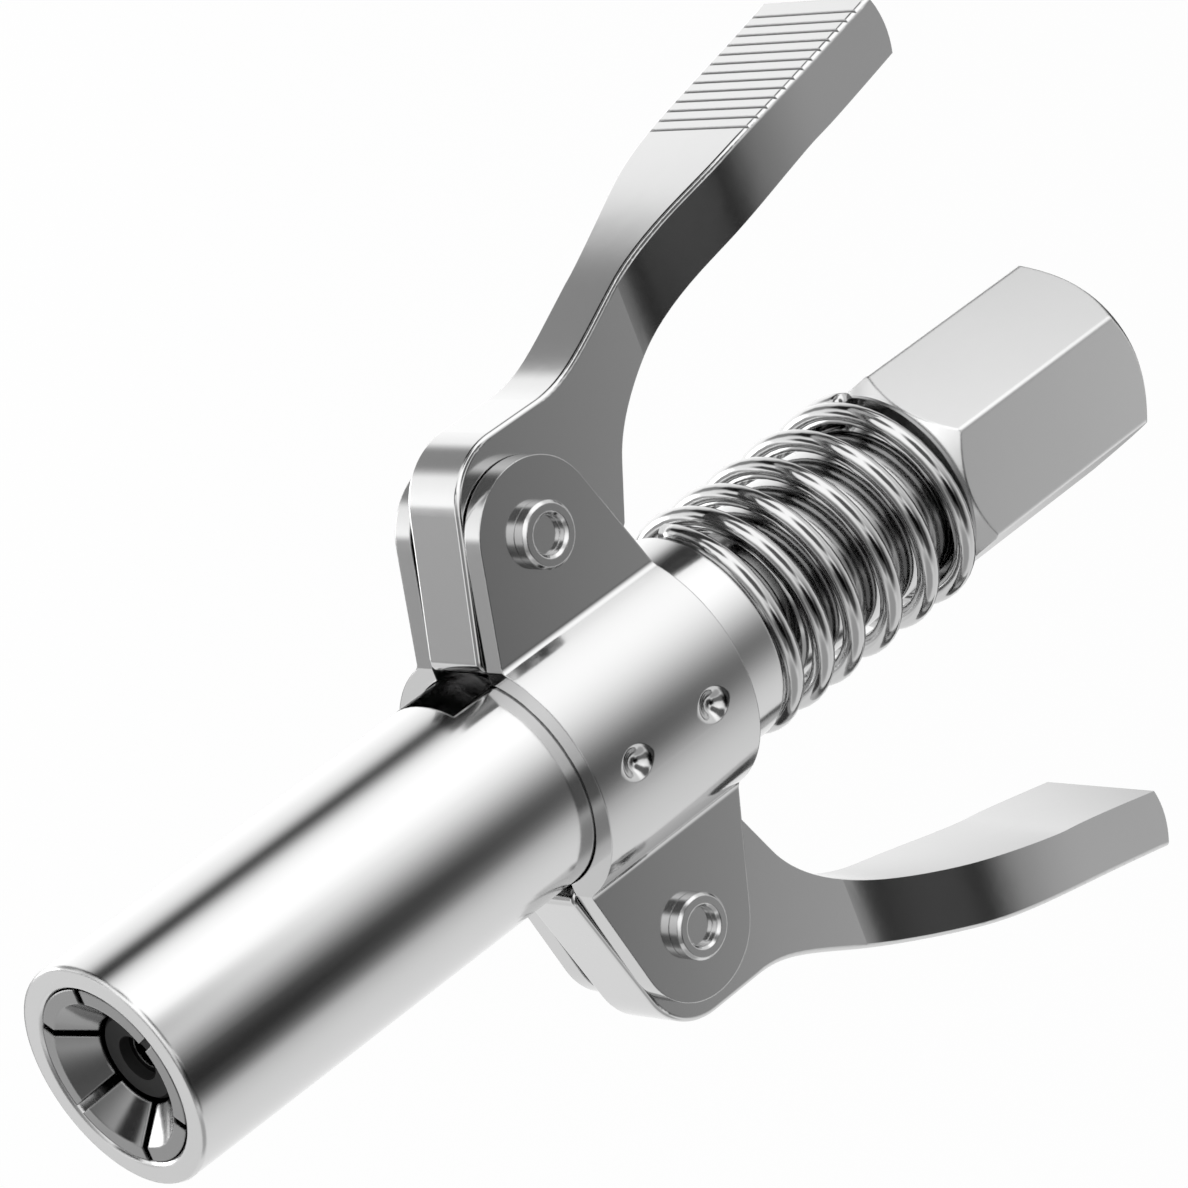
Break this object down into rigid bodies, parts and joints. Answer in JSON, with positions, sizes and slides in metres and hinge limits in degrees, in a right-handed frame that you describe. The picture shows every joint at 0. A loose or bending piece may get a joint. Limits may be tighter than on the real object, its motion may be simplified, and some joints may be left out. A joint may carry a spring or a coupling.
{
  "type": "quick-release grease coupler",
  "caption": "Chromed quick-release grease coupler: hexagon inlet, sprung sleeve with a mouth of closing jaws, and opposed squeeze levers riveted between yoke ears.",
  "frame": {"origin": "centre of the inlet thread's mouth, in the hexagon's end face", "axes": "+X along the grease path from the inlet to the nose; the levers lie in the XY plane on the +Y and -Y sides; +Z is the side with the hollow rivet heads"},
  "size_m": [0.0932, 0.065, 0.0182],
  "materials": {
    "body_chrome": "satin chrome on turned and drawn flats",
    "sleeve_chrome": "polished chrome",
    "yoke_chrome": "polished chrome over pressed sheet",
    "lever_steel": "satin chrome over forged steel",
    "rivet_chrome": "bright chrome",
    "spring_steel": "bright plated wire and sheet",
    "jaw_steel": "plated hardened steel",
    "hard_steel": "turned hardened steel, blackened",
    "nozzle_steel": "turned steel",
    "seal_rubber": "matt black rubber",
    "backup_plastic": "matt white plastic"
  },
  "bodies": {
    "core": {"hex_body": "body_chrome", "spring_seat": "hard_steel", "outer_spring": "spring_steel", "push_collar": "hard_steel", "jaw_carrier": "hard_steel", "jaw_spreader": "spring_steel", "gland_washer": "hard_steel", "o_ring": "seal_rubber", "backup_washer": "backup_plastic", "seal_spring": "spring_steel"},
    "sleeve": {"sleeve": "sleeve_chrome", "yoke_half_upper": "yoke_chrome", "yoke_half_lower": "yoke_chrome", "rivet_right": "rivet_chrome", "rivet_left": "rivet_chrome"},
    "lever_right": {"lever_right": "lever_steel"},
    "lever_left": {"lever_left": "lever_steel"},
    "nozzle": {"seal_nozzle": "nozzle_steel", "nozzle_clip": "spring_steel", "face_seal": "seal_rubber"},
    "jaw_1": {"jaw_1": "jaw_steel"},
    "jaw_2": {"jaw_2": "jaw_steel"},
    "jaw_3": {"jaw_3": "jaw_steel"},
    "jaw_4": {"jaw_4": "jaw_steel"},
    "jaw_5": {"jaw_5": "jaw_steel"},
    "jaw_6": {"jaw_6": "jaw_steel"}
  },
  "joints": [
    {"name": "sleeve_slide", "type": "slide", "parent": "core", "child": "sleeve", "axis": [-1, 0, 0], "range_m": [0, 0.0034], "stiffness_N_per_m": 4000, "springref_m": -0.004, "deforming": ["outer_spring"]},
    {"name": "lever_right_squeeze", "type": "hinge", "parent": "sleeve", "child": "lever_right", "pos_m": [0.0515, 0.01437, 0], "axis": [0, 0, 1], "range_deg": [0, 22]},
    {"name": "lever_left_squeeze", "type": "hinge", "parent": "sleeve", "child": "lever_left", "pos_m": [0.0515, -0.01437, 0], "axis": [0, 0, -1], "range_deg": [0, 22]},
    {"name": "jaw_1_tilt", "type": "hinge", "parent": "core", "child": "jaw_1", "pos_m": [0.07398, 0.00312, 0.0018], "axis": [0, -0.5, 0.866], "range_deg": [0, 2]},
    {"name": "jaw_2_tilt", "type": "hinge", "parent": "core", "child": "jaw_2", "pos_m": [0.07398, 0, 0.0036], "axis": [0, -1, 0], "range_deg": [0, 2]},
    {"name": "jaw_3_tilt", "type": "hinge", "parent": "core", "child": "jaw_3", "pos_m": [0.07398, -0.00312, 0.0018], "axis": [0, -0.5, -0.866], "range_deg": [0, 2]},
    {"name": "jaw_4_tilt", "type": "hinge", "parent": "core", "child": "jaw_4", "pos_m": [0.07398, -0.00312, -0.0018], "axis": [0, 0.5, -0.866], "range_deg": [0, 2]},
    {"name": "jaw_5_tilt", "type": "hinge", "parent": "core", "child": "jaw_5", "pos_m": [0.07398, 0, -0.0036], "axis": [0, 1, 0], "range_deg": [0, 2]},
    {"name": "jaw_6_tilt", "type": "hinge", "parent": "core", "child": "jaw_6", "pos_m": [0.07398, 0.00312, -0.0018], "axis": [0, 0.5, 0.866], "range_deg": [0, 2]},
    {"name": "seal_slide", "type": "slide", "parent": "core", "child": "nozzle", "axis": [-1, 0, 0], "range_m": [0, 0.003], "stiffness_N_per_m": 1500, "springref_m": -0.002, "deforming": ["seal_spring"]}
  ],
  "couplings": [
    {"joint": "lever_right_squeeze", "follows": "sleeve_slide", "rad_per_m": 112.93},
    {"joint": "lever_left_squeeze", "follows": "sleeve_slide", "rad_per_m": 112.93},
    {"joint": "jaw_1_tilt", "follows": "sleeve_slide", "rad_per_m": 10.266},
    {"joint": "jaw_2_tilt", "follows": "sleeve_slide", "rad_per_m": 10.266},
    {"joint": "jaw_3_tilt", "follows": "sleeve_slide", "rad_per_m": 10.266},
    {"joint": "jaw_4_tilt", "follows": "sleeve_slide", "rad_per_m": 10.266},
    {"joint": "jaw_5_tilt", "follows": "sleeve_slide", "rad_per_m": 10.266},
    {"joint": "jaw_6_tilt", "follows": "sleeve_slide", "rad_per_m": 10.266}
  ]
}
